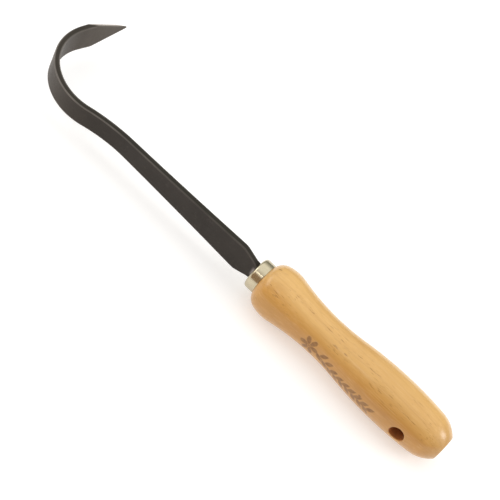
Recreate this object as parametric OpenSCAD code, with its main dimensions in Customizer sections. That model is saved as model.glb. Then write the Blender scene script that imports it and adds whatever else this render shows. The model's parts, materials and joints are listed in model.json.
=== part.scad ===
// Hooked hand weeder: a forged strip-steel hook that ends in a spear point, a
// drawn ferrule, and a turned beech handle with a hole to hang it by.
//
// Frame, in millimetres: the origin is the centre of the flat butt face, +X runs
// along the handle towards the hook, the hook opens towards -Y, and +Z is up
// with the tool lying on its side. The strip's width runs along Z.

/* [Handle] */
// Length of wood that shows, from the butt face to the ferrule
handle_len = 130; // [115:1:150]
// Diameter of the flat butt face
butt_face_d = 15.2; // [13:0.1:17]
// Radius of the arc that rounds the butt
butt_arc_r = 19; // [17.5:0.5:20.5]
// Radius of the long arc of the palm swell
palm_arc_r = 232; // [210:1:260]
// Radius of the hollow of the waist
waist_arc_r = 139.5; // [132:0.5:147]
// Radius of the finger swell in front of the waist
finger_arc_r = 24; // [22.5:0.5:25.5]
// Radius of the shoulder that drops to the ferrule
nose_arc_r = 8; // [7.6:0.1:8.3]

/* [Hang hole] */
// Diameter of the hole through the handle
hang_hole_d = 9; // [6:0.5:11]
// Distance of the hole from the butt face
hang_hole_x = 23.1; // [18:0.1:30]

/* [Ferrule] */
// Outside diameter of the ferrule
ferrule_d = 19.2; // [18.6:0.1:19.4]
// Length of the ferrule along the handle
ferrule_len = 6.8; // [5:0.1:9]
// Thickness of the ferrule's sheet metal
ferrule_wall = 0.8; // [0.6:0.1:1]
// Outside radius of the ferrule's front edge
ferrule_edge_r = 1.8; // [1.2:0.1:2.5]

/* [Tang] */
// Length of the tang, counted from the ferrule's front face
tang_len = 70; // [50:1:90]
// Width of the tang where it enters the ferrule
tang_w = 8; // [7:0.1:8.2]
// Thickness of the tang where it enters the ferrule
tang_t = 3.2; // [2.8:0.1:3.4]
// Size of the tang's end as a share of its size at the ferrule
tang_taper = 0.6; // [0.4:0.05:0.9]
// Diameter of the hole that is bored for the tang
tang_bore_d = 9; // [8.9:0.1:10]

/* [Neck] */
// Width of the neck at the ferrule
neck_w = 11; // [9:0.1:12]
// Thickness of the neck at the ferrule
neck_t = 4.3; // [3.6:0.1:5]
// Distance from the ferrule at which the neck is down to the strip's thickness
neck_fade = 3; // [2:0.1:5]
// Distance from the ferrule to the square shoulders of the strip
shoulder_x = 11.2; // [8:0.1:14]

/* [Strip] */
// Thickness of the strip
strip_t = 3.4; // [2.5:0.1:4.5]
// Width of the strip at the shoulders
shoulder_w = 20.2; // [16:0.1:22]
// Width of the strip at its narrowest
waist_w = 13.4; // [11:0.1:16]
// Width of the strip at the root of the spear point
spear_w = 18.3; // [14:0.1:20]
// Chamfer along the strip's edges
edge_chamfer = 0.2; // [0.1:0.05:0.6]

/* [Bends] */
// Angle by which the shank leans out of line with the handle
shank_lean = 0.8; // [0:0.1:2]
// Length of the straight shank
shank_len = 97; // [60:1:130]
// Radius of the outward bend
gooseneck_r = 105; // [80:1:160]
// Angle of the outward bend
gooseneck_turn = 16.6; // [8:0.1:22]
// Radius of the first half of the hook
hook_near_r = 34; // [28:0.5:45]
// Angle of the first half of the hook
hook_near_turn = 52; // [40:0.5:65]
// Radius of the second half of the hook
hook_far_r = 30; // [24:0.5:40]
// Angle of the second half of the hook
hook_far_turn = 69.5; // [50:0.5:75]
// Length of the straight run before the spear point
lead_len = 9.4; // [5:0.1:15]

/* [Spear point] */
// Length of the spear point
spear_len = 22.2; // [15:0.1:30]
// Width of the bevels that are ground on the point's outer side
bevel_w = 2; // [1.5:0.1:2.5]
// Thickness left at the ground edges
edge_t = 0.5; // [0.3:0.1:1]

/* [Hidden] */

$fn = 96;
arc_step = 5;             // degrees between two rings of a bend
width_steps = 12;         // rings along the straight shank
width_power = 1.5;        // how fast the strip widens away from its waist
ring_size = 8;            // corners of the strip's section
tip_w = 1;                // width of the blunt end of the spear point
fit_gap = 0.1;            // play between the tang and the ferrule's slot
bore_margin = 2;          // depth of the bore past the tang's end
drill_angle = 59;         // half angle of the cone that the drill leaves
drill_tip_d = 0.8;        // flat that its chisel edge leaves at the cone's end
eps = 0.01;

// The handle's outline leaves the butt face at butt_rise and runs through five
// tangent arcs; a negative turn bends towards the axis.
butt_rise = 48.4;
grip_arcs = [
    [butt_arc_r, -42.2],
    [palm_arc_r, -13.6],
    [waist_arc_r, 19.1],
    [finger_arc_r, -27.7],
    [nose_arc_r, -52.3]
];

ferrule_front = handle_len + ferrule_len;
spigot_front = ferrule_front - ferrule_wall;
spigot_r = ferrule_d / 2 - ferrule_wall;
bore_depth = tang_len - ferrule_wall + bore_margin;

// The point's half angle, and where its bevels start behind its root
point_angle = atan(spear_w / 2 / spear_len);
bevel_z = bevel_w / cos(point_angle);
bevel_run = bevel_w / sin(point_angle);
ridge_s = spear_len * (1 - bevel_z / (spear_w / 2));

// Where the strip's centreline starts, and the pose at the end of each run
shank_start = [ferrule_front, 0, -shank_lean];
shank_end = line_to(shank_start, shank_len);
gooseneck_end = arc_to(shank_end, gooseneck_r, gooseneck_turn);
hook_middle = arc_to(gooseneck_end, hook_near_r, -hook_near_turn);
hook_end = arc_to(hook_middle, hook_far_r, -hook_far_turn);
spear_root = line_to(hook_end, lead_len);

// Distances along the centreline, from the ferrule
gooseneck_s = shank_len + arc_len(gooseneck_r, gooseneck_turn);
hook_middle_s = gooseneck_s + arc_len(hook_near_r, hook_near_turn);
hook_end_s = hook_middle_s + arc_len(hook_far_r, hook_far_turn);
spear_s = hook_end_s + lead_len;
waist_s = (shoulder_x + spear_s) / 2;

// ---- Paths. A pose is [x, y, heading]; a positive turn bends to the left ----

function arc_len(r, turn) = PI * r * abs(turn) / 180;

function line_to(p, len) = [p[0] + len * cos(p[2]), p[1] + len * sin(p[2]), p[2]];

function arc_to(p, r, turn) =
    let (k = sign(turn) * r, h = p[2] + turn)
    [p[0] + k * (sin(h) - sin(p[2])), p[1] - k * (cos(h) - cos(p[2])), h];

// Poses along an arc without its start, arc_step degrees apart or less
function arc_poses(p, r, turn) =
    let (n = ceil(abs(turn) / arc_step))
    [for (i = [1:n]) arc_to(p, r, turn * i / n)];

// Poses along a chain of arcs, from the pose p on
function chain(p, arcs, i = 0) =
    i == len(arcs) ? [] : concat(
        arc_poses(p, arcs[i][0], arcs[i][1]),
        chain(arc_to(p, arcs[i][0], arcs[i][1]), arcs, i + 1)
    );

// Stations [pose, distance] along an arc that starts at distance s
function arc_stations(p, r, turn, s) =
    let (n = ceil(abs(turn) / arc_step))
    [for (i = [1:n]) [arc_to(p, r, turn * i / n), s + arc_len(r, turn) * i / n]];

// ---- The strip's section ----

// Width at a distance along the centreline
function strip_w(s) =
    let (end_w = s < waist_s ? shoulder_w : spear_w, t = abs(s - waist_s) / (spear_s - waist_s))
    waist_w + (end_w - waist_w) * pow(t, width_power);

// A ring of eight corners: the inner face is flat with a chamfer of inner at
// each edge, and the outer face is cut back by outer_w across and outer_t deep.
function ring(pose, w, t, inner, outer_w, outer_t) =
    let (c = [
        [-t / 2, inner - w / 2],
        [-t / 2, w / 2 - inner],
        [inner - t / 2, w / 2],
        [t / 2 - outer_t, w / 2],
        [t / 2, w / 2 - outer_w],
        [t / 2, outer_w - w / 2],
        [t / 2 - outer_t, -w / 2],
        [inner - t / 2, -w / 2]
    ])
    [for (q = c) [pose[0] - q[0] * sin(pose[2]), pose[1] + q[0] * cos(pose[2]), q[1]]];

function strip_ring(pose, w, t) = ring(pose, w, t, edge_chamfer, edge_chamfer, edge_chamfer);

// A ring of the point at distance s from its root. The bevels cut deeper up to
// the root, and near the tip they meet and the outer face drops with them.
function point_ring(s) =
    let (
        pose = line_to(spear_root, s),
        w = s < 0 ? strip_w(spear_s + s) : spear_w + (tip_w - spear_w) * s / spear_len,
        ground = min(1, 1 + s / bevel_run),
        cut = min(bevel_z, (w - tip_w / 2) / 2),
        t = edge_t + (strip_t - edge_t) * cut / bevel_z,
        shift = (t - strip_t) / 2,
        moved = [pose[0] - shift * sin(pose[2]), pose[1] + shift * cos(pose[2]), pose[2]],
        inner = edge_chamfer + (edge_t / 4 - edge_chamfer) * ground
    )
    ring(moved, w, t, inner, max(edge_chamfer, cut * ground), max(edge_chamfer, (t - edge_t) * ground));

// One closed solid through a list of rings
module sweep(rings) {
    n = ring_size;
    last = len(rings) - 1;
    sides = [
        for (i = [0:last - 1], k = [0:n - 1])
        let (a = i * n, b = a + n, k1 = (k + 1) % n)
        each [[a + k, a + k1, b + k1], [a + k, b + k1, b + k]]
    ];
    start_cap = [for (k = [n - 1:-1:0]) k];
    end_cap = [for (k = [0:n - 1]) last * n + k];
    polyhedron([for (r = rings, p = r) p], concat([start_cap], sides, [end_cap]));
}

// ---- The tang, inside the handle ----

// A ring of the tang at a distance behind the ferrule's front face
function tang_ring(back) =
    let (k = 1 - (1 - tang_taper) * back / tang_len)
    strip_ring([ferrule_front - back, 0, 0], tang_w * k, tang_t * k);

// The hole bored for the tang, with the drill's cone at its end
module tang_bore() {
    cone_len = (tang_bore_d - drill_tip_d) / 2 / tan(drill_angle);
    translate([spigot_front, 0, 0])
        rotate([0, -90, 0]) {
            cylinder(d = tang_bore_d, h = bore_depth);
            translate([0, 0, bore_depth])
                cylinder(d1 = tang_bore_d, d2 = drill_tip_d, h = cone_len);
        }
}

// ---- The pieces ----

// Half outline of the handle: the grip's arcs, stretched to handle_len, then the
// spigot inside the ferrule with its rounded front corner.
function handle_outline() =
    let (
        start = [0, butt_face_d / 2, butt_rise],
        arcs = concat([start], chain(start, grip_arcs)),
        stretch = handle_len / arcs[len(arcs) - 1][0],
        corner_r = ferrule_edge_r - ferrule_wall,
        corner = [for (a = [90:-15:0])
            [spigot_front - corner_r + corner_r * cos(a), spigot_r - corner_r + corner_r * sin(a)]]
    )
    concat(
        [[0, 0]],
        [for (p = arcs) [p[0] * stretch, p[1]]],
        [[handle_len, spigot_r]],
        corner,
        [[spigot_front, 0]]
    );

module handle() {
    color("burlywood")
        difference() {
            rotate([0, 90, 0])
                rotate_extrude()
                    polygon([for (p = handle_outline()) [p[1], p[0]]]);
            translate([hang_hole_x, 0, 0])
                rotate([90, 0, 0])
                    cylinder(d = hang_hole_d, h = 2 * ferrule_d, center = true);
            tang_bore();
            translate([spigot_front - eps, 0, 0])
                rotate([0, 90, 0])
                    cylinder(d = tang_bore_d, h = 1);
        }
}

// A cup of sheet metal: a tube with a front wall, which is slotted for the tang
module ferrule() {
    outer_r = ferrule_d / 2;
    bend_x = ferrule_len - ferrule_edge_r;
    color("silver")
        difference() {
            translate([handle_len, 0, 0])
                rotate([0, 90, 0])
                    rotate_extrude()
                        difference() {
                            cup_section(outer_r, ferrule_len, ferrule_edge_r);
                            translate([0, -eps])
                                cup_section(spigot_r, ferrule_len - ferrule_wall + eps,
                                            ferrule_edge_r - ferrule_wall);
                        }
            translate([ferrule_front, 0, 0])
                cube([4 * ferrule_wall, tang_t + 2 * fit_gap, tang_w + 2 * fit_gap], center = true);
        }
}

// Half section of a round cup of radius r and length len with a rounded rim
module cup_section(r, len, edge_r) {
    square([r - edge_r, len]);
    square([r, len - edge_r]);
    intersection() {
        translate([r - edge_r, len - edge_r])
            circle(edge_r);
        square([r, len]);
    }
}

// The bed of resin that fills the bore round the tang
module tang_adhesive() {
    color("goldenrod")
        difference() {
            tang_bore();
            sweep([tang_ring(tang_len), tang_ring(-1)]);
        }
}

// Tang, neck, strip and spear point, forged in one
module hook_blade() {
    shank = [for (i = [0:width_steps])
        let (s = shoulder_x + (shank_len - shoulder_x) * i / width_steps)
        [line_to(shank_start, s), s]];
    stations = concat(
        shank,
        arc_stations(shank_end, gooseneck_r, gooseneck_turn, shank_len),
        arc_stations(gooseneck_end, hook_near_r, -hook_near_turn, gooseneck_s),
        arc_stations(hook_middle, hook_far_r, -hook_far_turn, hook_middle_s)
    );
    fade_w = neck_w + (shoulder_w - neck_w) * neck_fade / shoulder_x;
    color("dimgray")
        sweep(concat(
            [tang_ring(tang_len), tang_ring(0)],
            [strip_ring([ferrule_front, 0, 0], neck_w, neck_t)],
            [strip_ring(line_to(shank_start, neck_fade), fade_w, strip_t)],
            [for (st = stations) strip_ring(st[0], strip_w(st[1]), strip_t)],
            [for (s = [-bevel_run, 0, ridge_s, spear_len]) point_ring(s)]
        ));
}

handle();
ferrule();
tang_adhesive();
hook_blade();
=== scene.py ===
"""Hooked hand weeder: the looks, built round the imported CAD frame.

Blender units are metres, in the CAD frame: +X runs from the handle's butt to the hook, the hook opens
towards -Y, and +Z is up with the tool lying on its side. Below, the tool's sizes are in millimetres, and
the floor, lights and camera are in metres.
"""

import json
import math

import bmesh
import bpy
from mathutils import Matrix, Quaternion, Vector, noise


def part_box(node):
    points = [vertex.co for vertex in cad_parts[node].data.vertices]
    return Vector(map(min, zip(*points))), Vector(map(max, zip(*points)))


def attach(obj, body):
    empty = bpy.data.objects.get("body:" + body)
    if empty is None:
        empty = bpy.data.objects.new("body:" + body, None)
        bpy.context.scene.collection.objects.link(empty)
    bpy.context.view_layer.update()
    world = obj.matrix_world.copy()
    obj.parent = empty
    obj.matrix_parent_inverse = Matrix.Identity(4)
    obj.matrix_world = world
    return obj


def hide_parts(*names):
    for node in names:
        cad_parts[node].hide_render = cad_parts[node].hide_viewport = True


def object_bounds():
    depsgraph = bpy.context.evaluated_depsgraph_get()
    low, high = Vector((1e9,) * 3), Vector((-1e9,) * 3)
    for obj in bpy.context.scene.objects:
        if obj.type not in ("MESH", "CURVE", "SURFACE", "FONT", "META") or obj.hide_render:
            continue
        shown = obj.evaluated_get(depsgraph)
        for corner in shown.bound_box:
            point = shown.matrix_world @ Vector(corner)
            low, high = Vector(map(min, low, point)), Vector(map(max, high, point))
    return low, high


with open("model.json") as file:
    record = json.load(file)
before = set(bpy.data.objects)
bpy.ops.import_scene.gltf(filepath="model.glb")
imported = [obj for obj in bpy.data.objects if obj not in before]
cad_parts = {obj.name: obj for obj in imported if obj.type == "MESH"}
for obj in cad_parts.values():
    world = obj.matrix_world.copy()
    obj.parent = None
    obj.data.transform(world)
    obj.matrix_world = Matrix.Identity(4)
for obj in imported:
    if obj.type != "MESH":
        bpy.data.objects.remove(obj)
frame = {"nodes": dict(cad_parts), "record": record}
cad_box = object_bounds()

MM = 0.001

# ---- Sizes of the tool. What the frame gives is read from it ----

handle_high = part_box("handle")[1] / MM
ferrule_low, ferrule_high = (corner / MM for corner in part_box("ferrule"))
blade_low, blade_high = (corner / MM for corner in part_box("hook_blade"))
hang_hole = next(m for m in frame["record"]["mounts"] if m["name"] == "hang_hole")

WOOD_LENGTH = ferrule_low.x
FERRULE_FRONT = ferrule_high.x
FERRULE_R = ferrule_high.z
FERRULE_WALL = FERRULE_FRONT - handle_high.x
FERRULE_EDGE_R = 1.8
FERRULE_LIP = 0.15
SPIGOT_R = FERRULE_R - FERRULE_WALL

HOLE_X = hang_hole["pos_m"][0] / MM
HOLE_R = hang_hole["dims"]["r_mm"]
HOLE_RIM = 0.8

# The handle's outline: it leaves the butt face at BUTT_RISE degrees and runs through tangent arcs of
# (radius, turn in degrees), where a negative turn bends towards the axis.
BUTT_FACE_R = 7.6
BUTT_RISE = 48.4
BUTT_CORNER_R = 0.6
BUTT_ARC = (19.0, -42.2)
GRIP_ARCS = [(232.0, -13.6), (139.5, 19.1), (24.0, -27.7), (8.0, -52.3)]

TANG_LENGTH = 70.0
TANG_W = 8.0
TANG_T = 3.2
TANG_TAPER = 0.6
TANG_BORE_R = 4.5
TANG_BORE_MARGIN = 2.0
DRILL_ANGLE = math.radians(59)
DRILL_TIP_R = 0.4
SLOT_PLAY = 0.1
SLOT_POWER = 10

NECK_W = 11.0
NECK_T = 4.3
NECK_FADE = 3.0
SHOULDER = 11.2
SHOULDER_ROUND = 0.8

STRIP_T = 3.4
SHOULDER_W = 20.2
WAIST_W = 13.4
POINT_W = 18.3
WIDTH_POWER = 1.5
ARRIS = 0.2
ARRIS_ROUND = 0.12

# The shank leans by SHANK_LEAN degrees, then come bends of (radius, turn) and a straight lead to the point
SHANK_LEAN = 0.8
SHANK_LENGTH = 97.0
BENDS = [(105.0, 16.6), (34.0, -52.0), (30.0, -69.5)]
LEAD_LENGTH = 9.4

POINT_LENGTH = 22.2
TIP_W = 1.0
BEVEL_W = 2.0
EDGE_T = 0.5

# How far the finer meshes stay inside the CAD's box
CLEARANCE = 0.001

# Less than any real difference between two lengths
TINY = 1e-9


# ---- Paths in the plane. A pose is (x, y, heading in degrees); a positive turn bends to the left ----

def ahead(pose, length):
    x, y, heading = pose
    angle = math.radians(heading)
    return (x + length * math.cos(angle), y + length * math.sin(angle), heading)


def along_arc(pose, radius, turn):
    x, y, heading = pose
    k = math.copysign(radius, turn)
    a, b = math.radians(heading), math.radians(heading + turn)
    return (x + k * (math.sin(b) - math.sin(a)), y - k * (math.cos(b) - math.cos(a)), heading + turn)


def arc_length(radius, turn):
    return radius * math.radians(abs(turn))


def walk_arc(pose, radius, turn, step):
    """Poses along an arc, without its start, no more than step apart."""
    n = max(2, math.ceil(arc_length(radius, turn) / step))
    return [along_arc(pose, radius, turn * i / n) for i in range(1, n + 1)]


def smooth(t):
    """0 below 0, 1 above 1 and an S curve between."""
    t = min(1.0, max(0.0, t))
    return t * t * (3 - 2 * t)


def mix(a, b, t):
    return a + (b - a) * t


def rounded(start, corner, end, t):
    """A point on the curve that cuts a corner, from its start at t = 0 to its end at t = 1."""
    return start * (1 - t) ** 2 + corner * 2 * t * (1 - t) + end * t * t


# ---- Meshes ----

def mesh_object(name, points, faces, marks=None, sharp=40.0):
    """A smooth-shaded object from points in millimetres; marks holds one number per point and name."""
    mesh = bpy.data.meshes.new(name)
    mesh.from_pydata([p * MM for p in points], [], faces)
    for mark, values in (marks or {}).items():
        mesh.attributes.new(mark, "FLOAT", "POINT").data.foreach_set("value", values)
    mesh.validate()
    mesh.shade_smooth()
    mesh.set_sharp_from_angle(angle=math.radians(sharp))
    obj = bpy.data.objects.new(name, mesh)
    bpy.context.scene.collection.objects.link(obj)
    return obj


def face_outwards(obj):
    """Turns every face of a closed mesh outwards."""
    work = bmesh.new()
    work.from_mesh(obj.data)
    bmesh.ops.recalc_face_normals(work, faces=work.faces)
    work.to_mesh(obj.data)
    work.free()


def band(a, b):
    """Faces between two closed loops of vertex numbers."""
    n = len(a)
    return [(a[k], a[(k + 1) % n], b[(k + 1) % n], b[k]) for k in range(n)]


def on_axis(x, radius, phi):
    """A point at a radius and an angle from +Z towards +Y round the handle's axis."""
    return Vector((x, radius * math.sin(phi), radius * math.cos(phi)))


def column_angle(column, columns):
    return 2 * math.pi * column / columns


def quarter_turn(steps):
    """Angles from 90 degrees down to 0, in radians."""
    return [math.radians(90 - a * 90 / steps) for a in range(steps + 1)]


# ---- The handle's outline ----

GRIP_STEP = 0.46
SPIGOT_EDGE_STEPS = 6
BORE_STEPS = 12
FACE_STEPS = 6


def grip_outline():
    """(x, radius) pairs of the visible wood, from the butt face's edge to the ferrule."""
    radius, turn = BUTT_ARC
    rise = math.radians(BUTT_RISE)
    start = math.asin((radius * math.sin(rise) - BUTT_CORNER_R) / (radius - BUTT_CORNER_R))
    face_r = BUTT_FACE_R - radius * math.cos(rise) + (radius - BUTT_CORNER_R) * math.cos(start)
    start = math.degrees(start)
    poses = [(0.0, face_r, 90.0)]
    arcs = [(BUTT_CORNER_R, start - 90), (radius, turn + BUTT_RISE - start)] + GRIP_ARCS
    for arc in arcs:
        poses += walk_arc(poses[-1], *arc, GRIP_STEP)
    stretch = WOOD_LENGTH / poses[-1][0]
    squeeze = min(1.0, (handle_high.y - 2 * CLEARANCE) / max(r for _, r, _ in poses))
    return [(x * stretch, r * squeeze) for x, r, _ in poses]


def inner_outline():
    """(x, radius) pairs from the grip's front edge over the spigot and down the bored hole."""
    corner_r = FERRULE_EDGE_R - FERRULE_WALL
    front = FERRULE_FRONT - FERRULE_WALL
    corner = [(front - corner_r + corner_r * math.cos(a), SPIGOT_R - corner_r + corner_r * math.sin(a))
              for a in quarter_turn(SPIGOT_EDGE_STEPS)]
    depth = front - (FERRULE_FRONT - TANG_LENGTH - TANG_BORE_MARGIN)
    bore = [(front - depth * i / BORE_STEPS, TANG_BORE_R) for i in range(BORE_STEPS + 1)]
    return [(WOOD_LENGTH, SPIGOT_R)] + corner + bore


def radius_at(outline, x):
    """The grip's radius at x, between two points of its outline."""
    for (x0, r0), (x1, r1) in zip(outline, outline[1:]):
        if x0 <= x <= x1:
            return mix(r0, r1, (x - x0) / max(TINY, x1 - x0))
    return outline[-1][1]


# ---- Marks on the wood: a burnt sprig and a few pin knots ----

# The sprig, in millimetres along the handle and round it: a flower, then a stem with pairs of leaves
SPRIG_ANGLE = math.radians(86)
FLOWER_X = 88.0
FLOWER_R = 5.9
FLOWER_PETALS = 6
PETAL_POWER = 0.6
HEART_R = 0.6
HEART_GAP_R = 1.0
STEM_START = 83.0
STEM_END = 42.0
STEM_SHIFT = 2.6
STEM_SHIFT_RUN = 12.0
STEM_WAVE = 0.5
STEM_WAVE_RUN = 6.0
STEM_HALF = 0.4
LEAF_COUNT = 9
LEAF_FIRST = 0.15
LEAF_LENGTH = 5.8
LEAF_HALF = 1.3
LEAF_ANGLE = math.radians(38)
LEAF_FULL = 0.8
BURN_SOFT = 0.3
BURN_DEPTH = 0.12
BURN_MARGIN = 1.0
BURN_HALF_ANGLE = 1.0

# Small dark knots in the wood: (x, degrees round the handle, half length, half width)
KNOTS = [(50.5, 80.0, 0.9, 0.6), (126.3, -7.0, 0.9, 0.4), (30.0, 214.0, 0.8, 0.5), (97.0, 268.0, 1.1, 0.5)]
KNOT_REACH = 1.4


def inside(distance):
    """1 well inside an edge, 0 well outside it, for a distance to the edge that is positive inside."""
    return smooth(distance / BURN_SOFT + 0.5)


def flower_mask(along, across):
    reach = math.hypot(along, across)
    petal = FLOWER_R * abs(math.cos(FLOWER_PETALS / 2 * math.atan2(across, along))) ** PETAL_POWER
    return max(inside(petal - reach) * inside(reach - HEART_GAP_R), inside(HEART_R - reach))


def leaf_mask(along, across):
    """1 inside a leaf that points along +along from the origin, falling to 0 across its edge."""
    t = along / LEAF_LENGTH
    if not 0 < t < 1:
        return 0.0
    half = LEAF_HALF * math.sin(math.pi * t ** LEAF_FULL)
    return inside(half - abs(across))


def stem_shift(run):
    """How far the stem's middle line lies to the side at a distance from its start."""
    return STEM_SHIFT * smooth(run / STEM_SHIFT_RUN) + STEM_WAVE * math.sin(run / STEM_WAVE_RUN)


def burn_mask(x, v):
    """How deeply the sprig is burnt at x along the handle and v round it: 0 for plain wood, 1 for burnt."""
    burnt = flower_mask(FLOWER_X - x, v)
    if not STEM_END - LEAF_LENGTH < x < STEM_START:
        return burnt
    run = STEM_START - x
    if x > STEM_END:
        burnt = max(burnt, inside(STEM_HALF - abs(v - stem_shift(run))))
    pitch = (STEM_START - STEM_END) / LEAF_COUNT
    c, s = math.cos(LEAF_ANGLE), math.sin(LEAF_ANGLE)
    for k in range(LEAF_COUNT):
        base = pitch * (k + LEAF_FIRST)
        for side in (1, -1):
            du = run - base - (pitch / 2 if side < 0 else 0)
            dv = side * (v - stem_shift(base))
            burnt = max(burnt, leaf_mask(du * c + dv * s, dv * c - du * s))
    return burnt


def burn_at(x, r, phi):
    """The burn at a place on the wood, measured round the handle from the sprig's middle line."""
    low, high = STEM_END - LEAF_LENGTH - BURN_MARGIN, FLOWER_X + FLOWER_R + BURN_MARGIN
    if not low < x < high or abs(phi - SPRIG_ANGLE) > BURN_HALF_ANGLE:
        return 0.0
    return burn_mask(x, (phi - SPRIG_ANGLE) * r)


def knot_at(point):
    """1 in the middle of a pin knot, 0 away from them."""
    r, phi = math.hypot(point.y, point.z), math.atan2(point.y, point.z)
    dark = 0.0
    for knot_x, angle, half_length, half_width in KNOTS:
        turn = math.remainder(phi - math.radians(angle), 2 * math.pi)
        away = math.hypot((point.x - knot_x) / half_length, turn * r / half_width)
        dark = max(dark, smooth(KNOT_REACH - away))
    return dark


# ---- The handle: a grid of rings, with a finer patch round each mouth of the hang hole ----

COLUMNS = 288
HOLE_PATCH = 8.0
PATCH_STEPS = 8
RIM_STEPS = 6
WALL_STEPS = 18


class Wood:
    """The handle's points, faces and marks while it is built."""

    def __init__(self):
        self.points, self.faces, self.burnt, self.bored = [], [], [], []

    def add(self, point, burn=0.0, bore=0.0):
        """Adds a point and returns its number."""
        self.points.append(point)
        self.burnt.append(burn)
        self.bored.append(bore)
        return len(self.points) - 1

    def finish(self, name):
        """The object, without the points that no face uses."""
        used = sorted({v for f in self.faces for v in f})
        number = {v: n for n, v in enumerate(used)}
        marks = {"burnt": self.burnt, "bored": self.bored, "knot": [knot_at(p) for p in self.points]}
        marks = {mark: [values[v] for v in used] for mark, values in marks.items()}
        faces = [tuple(number[v] for v in f) for f in self.faces]
        obj = mesh_object(name, [self.points[v] for v in used], faces, marks)
        face_outwards(obj)
        return obj


def add_grid(wood, rings):
    """Rows of point numbers, one for each (x, radius) ring."""
    grid = []
    for x, r in rings:
        row = []
        for j in range(COLUMNS):
            phi = column_angle(j, COLUMNS)
            burn = burn_at(x, r, phi)
            row.append(wood.add(on_axis(x, r - BURN_DEPTH * burn, phi), burn))
        grid.append(row)
    return grid


def patch_span(rings, grip, first):
    """First and last row and column of the patch on the +Y side; the grip's rows start at first."""
    rows = [i for i in range(first, first + len(grip)) if abs(rings[i][0] - HOLE_X) < HOLE_PATCH]
    half = round(HOLE_PATCH / radius_at(grip, HOLE_X) / (2 * math.pi) * COLUMNS)
    middle = COLUMNS // 4
    return rows[0], rows[-1], middle - half, middle + half


def add_grid_faces(wood, grid, span):
    """The grid's faces, apart from the two patches."""
    top, bottom, left, right = span
    for i, (a, b) in enumerate(zip(grid, grid[1:])):
        for j in range(COLUMNS):
            k = (j + 1) % COLUMNS
            across = left <= j < right or left <= COLUMNS - 1 - j < right
            if not (across and top <= i < bottom):
                wood.faces.append((a[j], a[k], b[k], b[j]))


def close_ends(wood, grid, rings):
    """Fans of faces that close the butt and the bored hole, which ends in the drill's cone."""
    cone = (TANG_BORE_R - DRILL_TIP_R) / math.tan(DRILL_ANGLE)
    butt = wood.add(Vector((0, 0, 0)))
    depth = wood.add(Vector((rings[-1][0] - cone, 0, 0)))
    wood.faces += [(butt, grid[0][(j + 1) % COLUMNS], grid[0][j]) for j in range(COLUMNS)]
    wood.faces += [(depth, grid[-1][j], grid[-1][(j + 1) % COLUMNS]) for j in range(COLUMNS)]


def patch_edge(span):
    """(row, column) places in order round a patch's square edge."""
    top, bottom, left, right = span
    edge = [(i, left) for i in range(top, bottom)]
    edge += [(bottom, j) for j in range(left, right)]
    edge += [(i, right) for i in range(bottom, top, -1)]
    edge += [(top, j) for j in range(right, left, -1)]
    return edge


def add_patch(wood, grip, rings, grid, edge, side):
    """Rings from a patch's edge to the hole's round rim: returns the last ring and its angles."""
    loop = [grid[i][j if side > 0 else (COLUMNS - j) % COLUMNS] for i, j in edge]
    rim_r = HOLE_R + HOLE_RIM
    starts, ends, angles = [], [], []
    for i, j in edge:
        x, r = rings[i]
        phi = column_angle(j, COLUMNS)
        angle = math.atan2((phi - math.pi / 2) * r, x - HOLE_X)
        rim_x, rim_z = HOLE_X + rim_r * math.cos(angle), -rim_r * math.sin(angle)
        starts.append((x, phi))
        ends.append((rim_x, math.acos(rim_z / radius_at(grip, rim_x))))
        angles.append(angle)
    for n in range(1, PATCH_STEPS + 1):
        t = n / PATCH_STEPS
        new = []
        for (x, phi), (rim_x, rim_phi) in zip(starts, ends):
            here_x = mix(x, rim_x, t)
            p = on_axis(here_x, radius_at(grip, here_x), mix(phi, rim_phi, t))
            new.append(wood.add(Vector((p.x, side * p.y, p.z))))
        wood.faces += band(loop, new)
        loop = new
    return loop, angles


def add_rim(wood, grip, rim, angles, side):
    """Rings that turn over the rim into the hole: returns the last of them."""
    loop = rim
    for n in range(1, RIM_STEPS + 1):
        t = n / RIM_STEPS
        new = []
        for start, angle in zip(rim, angles):
            x, z = HOLE_X + HOLE_R * math.cos(angle), -HOLE_R * math.sin(angle)
            y = math.sqrt(radius_at(grip, x) ** 2 - z ** 2)
            corner, end = Vector((x, side * y, z)), Vector((x, side * (y - HOLE_RIM), z))
            new.append(wood.add(rounded(wood.points[start], corner, end, t), bore=smooth(t * 2 - 1)))
        wood.faces += band(loop, new)
        loop = new
    return loop


def add_wall(wood, near, far):
    """The hang hole's wall, from one rim to the other."""
    loop = near
    for n in range(1, WALL_STEPS):
        places = [wood.points[a].lerp(wood.points[b], n / WALL_STEPS) for a, b in zip(near, far)]
        new = [wood.add(place, bore=1.0) for place in places]
        wood.faces += band(loop, new)
        loop = new
    wood.faces += band(loop, far)


def build_handle():
    grip = grip_outline()
    face = [(0.0, grip[0][1] * i / FACE_STEPS) for i in range(1, FACE_STEPS)]
    rings = face + grip + inner_outline()
    wood = Wood()
    grid = add_grid(wood, rings)
    span = patch_span(rings, grip, len(face))
    add_grid_faces(wood, grid, span)
    close_ends(wood, grid, rings)
    rims = []
    for side in (1, -1):
        loop, angles = add_patch(wood, grip, rings, grid, patch_edge(span), side)
        rims.append(add_rim(wood, grip, loop, angles, side))
    add_wall(wood, *rims)
    return wood.finish("turned_handle")


# ---- The ferrule ----

FERRULE_COLUMNS = 240
FERRULE_ROWS = 8
FERRULE_EDGE_STEPS = 12

# How far from round to the slot's edge each ring lies, on the front wall's outside and on its inside
OUTER_SHARES = (0.3, 0.6, 0.95, 1.0)
INNER_SHARES = (1.0, 0.95, 0.5)


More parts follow.
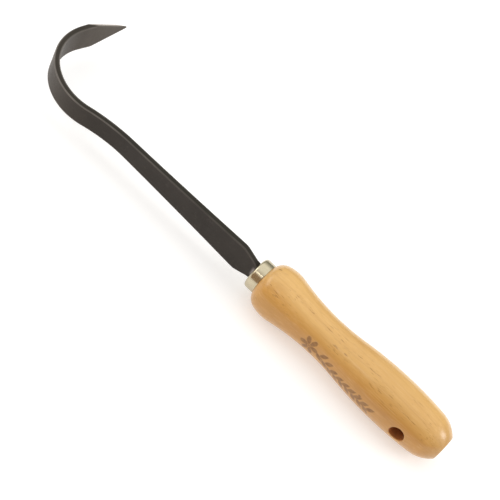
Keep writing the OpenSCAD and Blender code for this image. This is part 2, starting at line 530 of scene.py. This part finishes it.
def slot_radius(phi):
    """Distance from the axis to the edge of the tang's slot, a rectangle with rounded corners."""
    half_y = TANG_T / 2 + SLOT_PLAY
    half_z = TANG_W / 2 + SLOT_PLAY
    y, z = abs(math.sin(phi)) / half_y, abs(math.cos(phi)) / half_z
    return (y ** SLOT_POWER + z ** SLOT_POWER) ** (-1 / SLOT_POWER)


def ferrule_outlines():
    """(x, radius) pairs of the cup's outside, from rear to front, and of its inside, from front to rear."""
    rear, front = WOOD_LENGTH, FERRULE_FRONT
    lip, edge = FERRULE_LIP, FERRULE_EDGE_R
    bend_in = edge - FERRULE_WALL
    quarter = quarter_turn(FERRULE_EDGE_STEPS)
    outer = [(rear, FERRULE_R - lip), (rear + lip, FERRULE_R)]
    outer += [(mix(rear + lip, front - edge, i / FERRULE_ROWS), FERRULE_R) for i in range(1, FERRULE_ROWS)]
    outer += [(front - edge * (1 - math.cos(a)), FERRULE_R - edge * (1 - math.sin(a))) for a in quarter]
    inner = [(front - FERRULE_WALL - bend_in * (1 - math.cos(a)), SPIGOT_R - bend_in * (1 - math.sin(a)))
             for a in reversed(quarter)]
    inner += [(rear + lip, SPIGOT_R), (rear, SPIGOT_R + lip)]
    return outer, inner


def build_ferrule():
    outer, inner = ferrule_outlines()
    points, faces, loops = [], [], []

    def ring(x, radius, towards_slot=0.0):
        """A round ring, or one that lies part of the way from round to the slot's edge."""
        loop = []
        for k in range(FERRULE_COLUMNS):
            phi = column_angle(k, FERRULE_COLUMNS)
            loop.append(len(points))
            points.append(on_axis(x, mix(radius, slot_radius(phi), towards_slot), phi))
        loops.append(loop)

    for x, r in outer:
        ring(x, r)
    for t in OUTER_SHARES:
        ring(FERRULE_FRONT, outer[-1][1], t)
    for t in INNER_SHARES:
        ring(FERRULE_FRONT - FERRULE_WALL, inner[0][1], t)
    for x, r in inner:
        ring(x, r)
    for a, b in zip(loops, loops[1:] + loops[:1]):
        faces += band(a, b)
    obj = mesh_object("plated_ferrule", points, faces, sharp=50.0)
    face_outwards(obj)
    return obj


# ---- The blade's sections ----

POINT_ANGLE = math.atan(POINT_W / 2 / POINT_LENGTH)
BEVEL_Z = BEVEL_W / math.cos(POINT_ANGLE)
BEVEL_RUN = BEVEL_W / math.sin(POINT_ANGLE)
BLADE_LENGTH = SHANK_LENGTH + sum(arc_length(*bend) for bend in BENDS) + LEAD_LENGTH
WAIST_S = (SHOULDER + BLADE_LENGTH) / 2

# Where the faces between the section's corners are divided, the one from corner 0 to corner 1 first
BROAD = (0.04, 0.12, 0.25, 0.38, 0.5, 0.62, 0.75, 0.88, 0.96)
THIN = (0.2, 0.5, 0.8)
SLANT = (0.25, 0.5, 0.75)
DIVIDES = [BROAD, (), THIN, SLANT, BROAD, SLANT, THIN, ()]
BEVELS = (3, 5)
CORNER_STEPS = 3
CORNER_SHARE = 0.45


def strip_width(s):
    """Width of the strip at a distance s from the ferrule, along its middle line."""
    end_w = SHOULDER_W if s < WAIST_S else POINT_W
    t = abs(s - WAIST_S) / (BLADE_LENGTH - WAIST_S)
    strip = mix(WAIST_W, end_w, t ** WIDTH_POWER)
    slope = mix(NECK_W, SHOULDER_W, s / SHOULDER)
    reach = 3 * SHOULDER_ROUND
    if slope > strip + reach:
        return strip
    blend = max(0.0, 1 - abs(slope - strip) / reach)
    return min(slope, strip) - SHOULDER_ROUND / 2 * blend ** 2


def section(w, t, inner, outer_w, outer_t):
    """Corners (n, z) of the strip's section: n points to the hook's outside, z along the width."""
    corners = [
        (-t / 2, inner - w / 2), (-t / 2, w / 2 - inner),
        (inner - t / 2, w / 2), (t / 2 - outer_t, w / 2),
        (t / 2, w / 2 - outer_w), (t / 2, outer_w - w / 2),
        (t / 2 - outer_t, -w / 2), (inner - t / 2, -w / 2),
    ]
    return [Vector(corner) for corner in corners]


def round_section(corners):
    """The section's points with its corners rounded, as (point, arris, bevel): the marks are 0 or 1."""
    count = len(corners)
    sides = [corners[(i + 1) % count] - corners[i] for i in range(count)]
    reaches = [min(ARRIS_ROUND, CORNER_SHARE * sides[i - 1].length, CORNER_SHARE * sides[i].length)
               for i in range(count)]
    out = []
    for i, corner in enumerate(corners):
        back, on = sides[i - 1], sides[i]
        start, end = corner - back.normalized() * reaches[i], corner + on.normalized() * reaches[i]
        for k in range(CORNER_STEPS + 1):
            t = k / CORNER_STEPS
            side = i if t >= 0.5 else (i - 1) % count
            out.append((rounded(start, corner, end, t), 1.0, side in BEVELS))
        stop = corner + on - on.normalized() * reaches[(i + 1) % count]
        out += [(end.lerp(stop, t), 0.0, i in BEVELS) for t in DIVIDES[i]]
    return out


# ---- The blade's rings, each (pose, corners, ground) ----

TANG_STEPS = 10
NECK_STEP = 0.4
NECK_STEP_PAST = 3.0
SHANK_STEP = 1.5
BEND_STEP = 1.0
LEAD_STEPS = 6
POINT_STEPS = 60


def strip_ring(pose, w, t=STRIP_T):
    return pose, section(w, t, ARRIS, ARRIS, ARRIS), 0.0


def point_ring(root, s):
    """A ring of the spear point at a distance s from its root, cut by the two ground bevels."""
    x, y, heading = ahead(root, s)
    w = strip_width(BLADE_LENGTH + s) if s < 0 else mix(POINT_W, TIP_W, s / POINT_LENGTH)
    ground = min(1.0, 1 + s / BEVEL_RUN)
    cut = min(BEVEL_Z, w / 2 - TIP_W / 4)
    t = EDGE_T + (STRIP_T - EDGE_T) * cut / BEVEL_Z
    shift = (t - STRIP_T) / 2
    angle = math.radians(heading)
    pose = (x - shift * math.sin(angle), y + shift * math.cos(angle), heading)
    inner = mix(ARRIS, EDGE_T / 4, ground)
    return pose, section(w, t, inner, max(ARRIS, cut * ground), max(ARRIS, (t - EDGE_T) * ground)), ground


def tang_rings():
    rings = []
    for i in range(TANG_STEPS + 1):
        back = TANG_LENGTH * (1 - i / TANG_STEPS)
        k = 1 - (1 - TANG_TAPER) * back / TANG_LENGTH
        rings.append(strip_ring((FERRULE_FRONT - back, 0, 0), TANG_W * k, TANG_T * k))
    return rings


def shank_rings(start):
    rings = []
    s = 0.0
    while s < SHANK_LENGTH - TINY:
        s = min(SHANK_LENGTH, s + (NECK_STEP if s < SHOULDER + NECK_STEP_PAST else SHANK_STEP))
        t = STRIP_T + (NECK_T - STRIP_T) * (1 - smooth(s / NECK_FADE))
        rings.append(strip_ring(ahead(start, s), strip_width(s), t))
    return rings


def hook_rings(pose):
    """Rings through the bends, along the lead and over the spear point, from the shank's end."""
    rings = []
    s = SHANK_LENGTH
    for radius, turn in BENDS:
        for here in walk_arc(pose, radius, turn, BEND_STEP):
            rings.append(strip_ring(here, strip_width(s + arc_length(radius, here[2] - pose[2]))))
        s += arc_length(radius, turn)
        pose = along_arc(pose, radius, turn)
    for i in range(1, LEAD_STEPS + 1):
        step = (LEAD_LENGTH - BEVEL_RUN) * i / LEAD_STEPS
        rings.append(strip_ring(ahead(pose, step), strip_width(s + step)))
    root = ahead(pose, LEAD_LENGTH)
    for i in range(1, POINT_STEPS + 1):
        rings.append(point_ring(root, mix(-BEVEL_RUN, POINT_LENGTH, i / POINT_STEPS)))
    return rings


def blade_rings():
    """Every ring of the blade, from the tang's end to the tip."""
    start = (FERRULE_FRONT, 0, -SHANK_LEAN)
    neck = [strip_ring((FERRULE_FRONT, 0, 0), NECK_W, NECK_T)]
    return tang_rings() + neck + shank_rings(start) + hook_rings(ahead(start, SHANK_LENGTH))


# ---- The blade ----

# The neck gets a bright bare patch where it enters the ferrule, round a place a little off its middle:
# partly steel rubbed where it was driven in, partly a painted highlight
BARE_LENGTH = 2.6
BARE_MIDDLE = 0.5
BARE_FULL = 1.2
BARE_HALF = 3.2

# The forged faces waver from WAVER_START past the ferrule: (waves per millimetre, height)
WAVER_START = 1.0
WAVERS = [(0.09, 0.03), (0.35, 0.008)]


def bare_patch_and_glint_at(x, z):
    """1 on the neck root's bright bare patch, partly a painted highlight, 0 away from it."""
    root = 1 - smooth((x - FERRULE_FRONT) / BARE_LENGTH)
    return root * (1 - smooth((abs(z - BARE_MIDDLE) - BARE_FULL) / BARE_HALF))


def waver(p, arris):
    """The point moved by the forged face's waver, which leaves the arrises straight and the tang alone."""
    if p.x <= FERRULE_FRONT + WAVER_START:
        return p
    move = sum(noise.noise(p * pitch) * height for pitch, height in WAVERS)
    x = min(p.x, blade_high.x - CLEARANCE)
    y = max(p.y + move * (1 - arris), blade_low.y + CLEARANCE)
    return Vector((x, y, p.z))


def build_blade():
    points, faces, arris, ground, bare, loops = [], [], [], [], [], []
    for (x, y, heading), corners, cut in blade_rings():
        angle = math.radians(heading)
        loop = []
        for q, on_arris, on_bevel in round_section(corners):
            loop.append(len(points))
            points.append(Vector((x - q.x * math.sin(angle), y + q.x * math.cos(angle), q.y)))
            arris.append(on_arris)
            ground.append(1.0 if on_bevel and cut > 0 else 0.0)
            # The bare mark is the neck root's bright patch, partly a painted highlight
            bare.append(bare_patch_and_glint_at(x, q.y))
        loops.append(loop)
    for a, b in zip(loops, loops[1:]):
        faces += band(a, b)
    for loop in (loops[0], loops[-1]):
        middle = len(points)
        points.append(sum((points[k] for k in loop), Vector()) / len(loop))
        faces += [(middle, a, b) for a, b in zip(loop, loop[1:] + loop[:1])]
        for marks in (arris, ground, bare):
            marks.append(0.0)
    points = [waver(p, on_arris) for p, on_arris in zip(points, arris)]
    marks = {"arris": arris, "ground": ground, "bare": bare}
    obj = mesh_object("hook_blade_steel", points, faces, marks, sharp=30.0)
    face_outwards(obj)
    return obj


# ---- Materials ----

def rgba(r, g, b):
    return (r, g, b, 1.0)


class Nodes:
    """Short calls that build one material's node tree."""

    def __init__(self, name):
        self.material = bpy.data.materials.new(name)
        self.material.use_nodes = True
        self.tree = self.material.node_tree
        self.shader = self.tree.nodes["Principled BSDF"]

    def add(self, kind, inputs=None, **settings):
        node = self.tree.nodes.new("ShaderNode" + kind)
        for key, value in settings.items():
            setattr(node, key, value)
        self.fill(node, inputs or {})
        return node

    def fill(self, node, inputs):
        """Links each input that is given a socket, and sets the others."""
        for key, value in inputs.items():
            if isinstance(value, bpy.types.NodeSocket):
                self.tree.links.new(value, node.inputs[key])
            else:
                node.inputs[key].default_value = value

    def math(self, operation, *values):
        return self.add("Math", dict(enumerate(values)), operation=operation).outputs[0]

    def plus(self, a, b):
        return self.math("ADD", a, b)

    def times(self, a, b):
        return self.math("MULTIPLY", a, b)

    def span(self, value, low, high, to_low=0.0, to_high=1.0):
        """The value's place between low and high, held to that range, as a number from to_low to to_high."""
        inputs = {0: value, 1: low, 2: high, 3: to_low, 4: to_high}
        return self.add("MapRange", inputs).outputs[0]

    def place(self, scale):
        """The object's own coordinates, times scale along each axis; 1000 makes millimetres."""
        coords = self.add("TexCoord").outputs["Object"]
        return self.add("Mapping", {0: coords, 3: scale}).outputs[0]

    def axes(self):
        """The object's own x, y and z, in millimetres."""
        return self.add("SeparateXYZ", {0: self.place((1000, 1000, 1000))}).outputs

    def normal(self):
        """The surface normal's x, y and z."""
        return self.add("SeparateXYZ", {0: self.add("NewGeometry").outputs["Normal"]}).outputs

    def noise(self, scale, detail=2.0, rough=0.5):
        inputs = {"Vector": self.place(scale), "Scale": 1.0, "Detail": detail, "Roughness": rough}
        return self.add("TexNoise", inputs).outputs["Fac"]

    def blend(self, a, b, factor, mode="MIX"):
        node = self.add("Mix", data_type="RGBA", blend_type=mode)
        self.fill(node, {0: factor, 6: a, 7: b})
        return node.outputs[2]

    def tint(self, colour, tint, factor):
        """The colour, multiplied by the tint where the factor is 1."""
        return self.blend(colour, self.blend(colour, tint, 1.0, "MULTIPLY"), factor)

    def attribute(self, name):
        return self.add("Attribute", attribute_name=name).outputs["Fac"]

    def bump(self, height, distance):
        """A bump of up to distance, in millimetres."""
        return self.add("Bump", {"Height": height, "Distance": distance * MM, "Strength": 1.0}).outputs[0]

    def finish(self, **inputs):
        self.fill(self.shader, {key.replace("_", " "): value for key, value in inputs.items()})
        return self.material


# ---- Lacquered beech ----

# The growth rings' pith lies beside the handle, at -PITH_Y and PITH_Z, and leans a little along it
PITH_Y = 38.0
PITH_Z = 22.0
PITH_LEAN = 0.035
RING_PITCH = 3.9


def beech_ground(m):
    """Broad drift of colour along the blank, and long soft streaks."""
    drift = m.noise((12, 70, 70), detail=3)
    streak = m.noise((7, 260, 260), detail=4, rough=0.6)
    wood = m.blend(rgba(0.73, 0.445, 0.150), rgba(0.61, 0.350, 0.108), m.span(drift, 0.32, 0.7))
    return m.blend(wood, rgba(0.56, 0.30, 0.090), m.span(streak, 0.48, 0.72, 0.0, 0.42))


def beech_rings(m, wood):
    """Growth rings; the wood is also tinted darker and browner away from the pith, on the +Y side and
    underneath: partly the wood's own colour, partly painted shade.
    """
    x, y, z = m.axes()
    warp = m.times(m.noise((9, 45, 45), detail=2), 9.0)
    across, up = m.plus(y, PITH_Y), m.math("SUBTRACT", z, PITH_Z)
    reach = m.math("SQRT", m.plus(m.math("POWER", across, 2.0), m.math("POWER", up, 2.0)))
    reach = m.plus(m.plus(reach, warp), m.times(x, PITH_LEAN))
    ring = m.math("FRACT", m.math("DIVIDE", reach, RING_PITCH))
    late = m.times(m.span(ring, 0.45, 0.95), m.span(ring, 1.0, 0.95))
    wood = m.blend(wood, rgba(0.50, 0.27, 0.085), m.times(late, 0.15))
    # Partly painted shade: the side towards +Y and the underside are tinted darker
    wood = m.tint(wood, rgba(0.89, 0.78, 0.63), m.span(reach, 52.5, 60.0))
    return m.tint(wood, rgba(0.91, 0.91, 0.88), m.span(reach, 60.0, 66.0))


def beech_rays(m, normal):
    """The rays: short dashes, thickest on the faces that the rings are square to."""
    rays = m.noise((190, 1700, 1700), detail=1)
    clumps = m.noise((45, 220, 220), detail=2)
    facing = m.plus(m.times(normal[1], 0.5), m.times(normal[2], 0.87))
    quarter = m.span(m.math("ABSOLUTE", facing), 0.80, 0.97, 0.30, 1.0)
    return m.times(m.times(m.span(rays, 0.60, 0.70), m.span(clumps, 0.40, 0.58)), quarter)


def beech_material():
    m = Nodes("lacquered_beech")
    wood = beech_rings(m, beech_ground(m))
    # Fine pale fibres and brown rays
    fibre = m.noise((70, 1500, 1500), detail=3, rough=0.6)
    wood = m.blend(wood, rgba(0.84, 0.58, 0.27), m.span(fibre, 0.5, 0.85, 0.0, 0.35))
    normal = m.normal()
    dash = beech_rays(m, normal)
    wood = m.blend(wood, rgba(0.38, 0.185, 0.052), m.times(dash, 0.7))
    wood = m.blend(wood, rgba(0.17, 0.065, 0.02), m.times(m.attribute("knot"), 0.8))
    # Faces turned towards -X, over the butt's end, are tinted darker: painted shade
    wood = m.tint(wood, rgba(0.78, 0.74, 0.74), m.span(normal[0], -0.25, -0.75))
    # The hang hole's wall is painted darker and redder, as painted shade in the hole, and the sprig is
    # scorched brown with soft edges
    wood = m.blend(wood, rgba(0.42, 0.155, 0.052), m.times(m.attribute("bored"), 0.9))
    scorch = m.times(m.attribute("burnt"), m.span(m.noise((500, 500, 500)), 0.2, 0.7, 0.55, 0.95))
    wood = m.blend(wood, rgba(0.225, 0.098, 0.022), scorch)
    rough = m.plus(m.span(fibre, 0.2, 0.8, 0.34, 0.44), m.times(scorch, 0.2))
    height = m.math("SUBTRACT", m.times(fibre, 0.35), dash)
    return m.finish(Base_Color=wood, Roughness=rough, Normal=m.bump(height, 0.06), Specular_IOR_Level=0.14,
                    Coat_Weight=0.75, Coat_Roughness=0.2)


# ---- Blackened steel ----

def steel_scale(m, cloud, speck):
    """Dark forge scale with paler specks, painted a little paler towards the hook's end and the tip: painted
    light.
    """
    steel = m.blend(rgba(0.016, 0.012, 0.009), rgba(0.024, 0.019, 0.015), m.span(cloud, 0.3, 0.7))
    steel = m.blend(steel, rgba(0.052, 0.043, 0.035), m.times(m.span(speck, 0.60, 0.75), 0.35))
    x, y, _ = m.axes()
    # Painted light: paler towards the hook's end and towards the tip
    hook_end_painted_light = m.times(m.span(x, 250.0, 300.0), m.span(cloud, 0.25, 0.65, 0.5, 1.0))
    hook_end_painted_light = m.plus(m.times(hook_end_painted_light, 0.5), m.span(y, -25.0, -66.0, 0.0, 0.35))
    return m.blend(steel, rgba(0.088, 0.072, 0.057), hook_end_painted_light)


def steel_wear_and_highlight(m, steel, cloud):
    """The narrow sides, which face up and down, are darker. The arrises are painted lighter, most where the
    hook bends: partly wear, partly a painted highlight along the edges.
    """
    narrow = m.span(m.math("ABSOLUTE", m.normal()[2]), 0.75, 0.95)
    steel = m.blend(steel, rgba(0.009, 0.009, 0.006), m.times(narrow, 0.5))
    x, y, _ = m.axes()
    # Partly wear, partly painted highlight: lighter steel along the arrises
    edge_wear_and_highlight = m.times(m.span(x, 200.0, 280.0, 0.35, 1.0), m.span(cloud, 0.25, 0.6, 0.4, 0.8))
    edge_wear_and_highlight = m.times(edge_wear_and_highlight, m.span(y, -14.0, -32.0, 1.0, 0.55))
    return m.blend(steel, rgba(0.20, 0.185, 0.17), m.times(m.attribute("arris"), edge_wear_and_highlight))


def steel_material():
    m = Nodes("blackened_steel")
    cloud = m.noise((60, 60, 60), detail=4)
    grain = m.noise((1400, 1400, 1400), detail=3)
    speck = m.noise((420, 420, 420), detail=2)
    steel = steel_wear_and_highlight(m, steel_scale(m, cloud, speck), cloud)
    # The bevels are ground bare, with fine scratches across the edge, and the root of the neck gets a bright
    # bare patch: partly rubbed steel, partly a painted highlight
    ground = m.times(m.attribute("ground"), m.span(cloud, 0.2, 0.5, 0.75, 1.0))
    root = m.times(m.attribute("bare"), m.span(speck, 0.25, 0.6, 0.65, 1.0))
    scratch = m.noise((300, 2600, 300), detail=2)
    bare = m.blend(rgba(0.16, 0.15, 0.14), rgba(0.27, 0.255, 0.24), m.span(scratch, 0.3, 0.7))
    steel = m.blend(steel, bare, ground)
    steel = m.blend(steel, rgba(0.46, 0.41, 0.40), root)
    bright = m.math("MAXIMUM", ground, root)
    rough = m.math("SUBTRACT", m.span(grain, 0.3, 0.7, 0.40, 0.52), m.times(bright, 0.12))
    height = m.plus(m.times(grain, 0.6), m.times(cloud, 1.5))
    return m.finish(Base_Color=steel, Roughness=rough, Metallic=m.times(bright, 0.9),
                    Normal=m.bump(height, 0.03), Specular_IOR_Level=0.27,
                    Specular_Tint=rgba(1.0, 0.92, 0.84))


# ---- Nickel and resin ----

def nickel_material():
    m = Nodes("bright_nickel")
    lines = m.noise((2600, 90, 90), detail=3)
    smear = m.noise((160, 160, 160), detail=3)
    tint = m.blend(rgba(0.56, 0.495, 0.355), rgba(0.49, 0.43, 0.295), m.span(smear, 0.35, 0.7))
    rough = m.plus(m.span(smear, 0.3, 0.75, 0.14, 0.24), m.span(lines, 0.3, 0.7, 0.0, 0.05))
    return m.finish(Base_Color=tint, Metallic=1.0, Roughness=rough, Normal=m.bump(lines, 0.006))


def resin_material():
    m = Nodes("cured_resin")
    cloud = m.noise((180, 180, 180), detail=3)
    tint = m.blend(rgba(0.50, 0.33, 0.12), rgba(0.36, 0.21, 0.07), m.span(cloud, 0.3, 0.7))
    return m.finish(Base_Color=tint, Roughness=m.span(cloud, 0.2, 0.8, 0.25, 0.4), Normal=m.bump(cloud, 0.1))


# ---- The pieces, placed on the frame ----

def dress(obj, material, node):
    obj.data.materials.clear()
    obj.data.materials.append(material)
    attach(obj, "root")
    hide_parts(node)


dress(build_handle(), beech_material(), "handle")
dress(build_ferrule(), nickel_material(), "ferrule")
dress(build_blade(), steel_material(), "hook_blade")
adhesive = frame["nodes"]["tang_adhesive"]
adhesive.data.materials.clear()
adhesive.data.materials.append(resin_material())


# ---- The studio, in metres ----

FLOOR_HALF = 3.0
FLOOR_GLOW = 0.45

# Brightness of the studio round the tool, by angle up from the +Y horizon, over the top, to the -Y one
SKY = 1.40
WALL = (0.30, 0.21, 0.14)
STUDIO = [(0, (0.36, 0.28, 0.21)), (6, WALL), (41, WALL), (50, (0.50, 0.46, 0.42)), (66, (0.56, 0.54, 0.52)),
          (80, (0.90, 0.90, 0.89)), (130, (0.95, 0.95, 0.93)), (144, (0.62, 0.62, 0.58)),
          (156, (0.36, 0.36, 0.33)), (166, (0.22, 0.22, 0.19)), (180, (0.22, 0.22, 0.19))]

# Area lights: (name, size, watts, position, target)
LIGHTS = [("window", (0.38, 0.38), 2.8, (-0.78, -0.35, 0.53), (0.02, 0.0, 0.0)),
          ("far_window", (0.95, 0.50), 3.0, (1.19, 0.30, 0.57), (0.13, 0.0, 0.0)),
          ("lamp", (0.20, 0.03), 0.25, (0.31, 0.66, 1.0), (0.13, 0.0, 0.0))]

CAMERA_AZIMUTH = math.radians(101.80)
CAMERA_ELEVATION = math.radians(51.51)
CAMERA_ROLL = math.radians(34.01)
CAMERA_TARGET = Vector((0.14664, -0.00424, 0.0049))
CAMERA_DISTANCE = 0.7582
CAMERA_LENS = 101.24
CAMERA_SENSOR = 36.0


def build_floor():
    """A pale light table under the tool, which rests on the handle's swell."""
    ends = ((-1, -1), (1, -1), (1, 1), (-1, 1))
    corners = [Vector((x * FLOOR_HALF, y * FLOOR_HALF, 0)) / MM for x, y in ends]
    floor = mesh_object("floor", corners, [(0, 1, 2, 3)])
    floor.location.z = cad_box[0][2]
    m = Nodes("pale_floor")
    tone = m.blend(rgba(0.65, 0.65, 0.65), rgba(0.68, 0.68, 0.68), m.noise((900, 900, 900)))
    floor.data.materials.append(m.finish(Base_Color=tone, Roughness=0.9, Specular_IOR_Level=0.1,
                                         Emission_Color=rgba(1, 1, 1), Emission_Strength=FLOOR_GLOW))


def build_world():
    """Plain studio light: bright overhead, darker low down and on the side where the camera stands."""
    world = bpy.data.worlds.new("studio")
    world.use_nodes = True
    bpy.context.scene.world = world
    tree = world.node_tree
    coords = tree.nodes.new("ShaderNodeTexCoord")
    split = tree.nodes.new("ShaderNodeSeparateXYZ")
    angle = tree.nodes.new("ShaderNodeMath")
    angle.operation = "ARCTAN2"
    share = tree.nodes.new("ShaderNodeMath")
    share.operation = "DIVIDE"
    share.inputs[1].default_value = math.pi
    ramp = tree.nodes.new("ShaderNodeValToRGB")
    tree.links.new(coords.outputs["Generated"], split.inputs[0])
    tree.links.new(split.outputs["Z"], angle.inputs[0])
    tree.links.new(split.outputs["Y"], angle.inputs[1])
    tree.links.new(angle.outputs[0], share.inputs[0])
    tree.links.new(share.outputs[0], ramp.inputs[0])
    stops = ramp.color_ramp.elements
    for place, _ in STUDIO[1:-1]:
        stops.new(place / 180)
    for stop, (place, colour) in zip(stops, STUDIO):
        stop.position = place / 180
        stop.color = rgba(*colour)
    background = tree.nodes["Background"]
    tree.links.new(ramp.outputs[0], background.inputs[0])
    background.inputs[1].default_value = SKY


def area_light(name, size, power, position, target):
    data = bpy.data.lights.new(name, "AREA")
    data.shape = "RECTANGLE"
    data.size, data.size_y = size
    data.energy = power
    light = bpy.data.objects.new(name, data)
    bpy.context.scene.collection.objects.link(light)
    light.location = position
    light.rotation_euler = (Vector(target) - Vector(position)).to_track_quat("-Z", "Y").to_euler()


def build_camera():
    """The camera stands on the +Y side and looks down at the tool, turned so the handle runs down right."""
    level, up = math.cos(CAMERA_ELEVATION), math.sin(CAMERA_ELEVATION)
    back = Vector((level * math.cos(CAMERA_AZIMUTH), level * math.sin(CAMERA_AZIMUTH), up))
    data = bpy.data.cameras.new("camera")
    data.sensor_width = CAMERA_SENSOR
    data.lens = CAMERA_LENS
    camera = bpy.data.objects.new("camera", data)
    bpy.context.scene.collection.objects.link(camera)
    camera.location = CAMERA_TARGET + back * CAMERA_DISTANCE
    camera.rotation_euler = (back.to_track_quat("Z", "Y") @ Quaternion((0, 0, 1), CAMERA_ROLL)).to_euler()
    bpy.context.scene.camera = camera


build_floor()
build_world()
for light in LIGHTS:
    area_light(*light)
build_camera()
bpy.context.scene.view_settings.view_transform = "Standard"
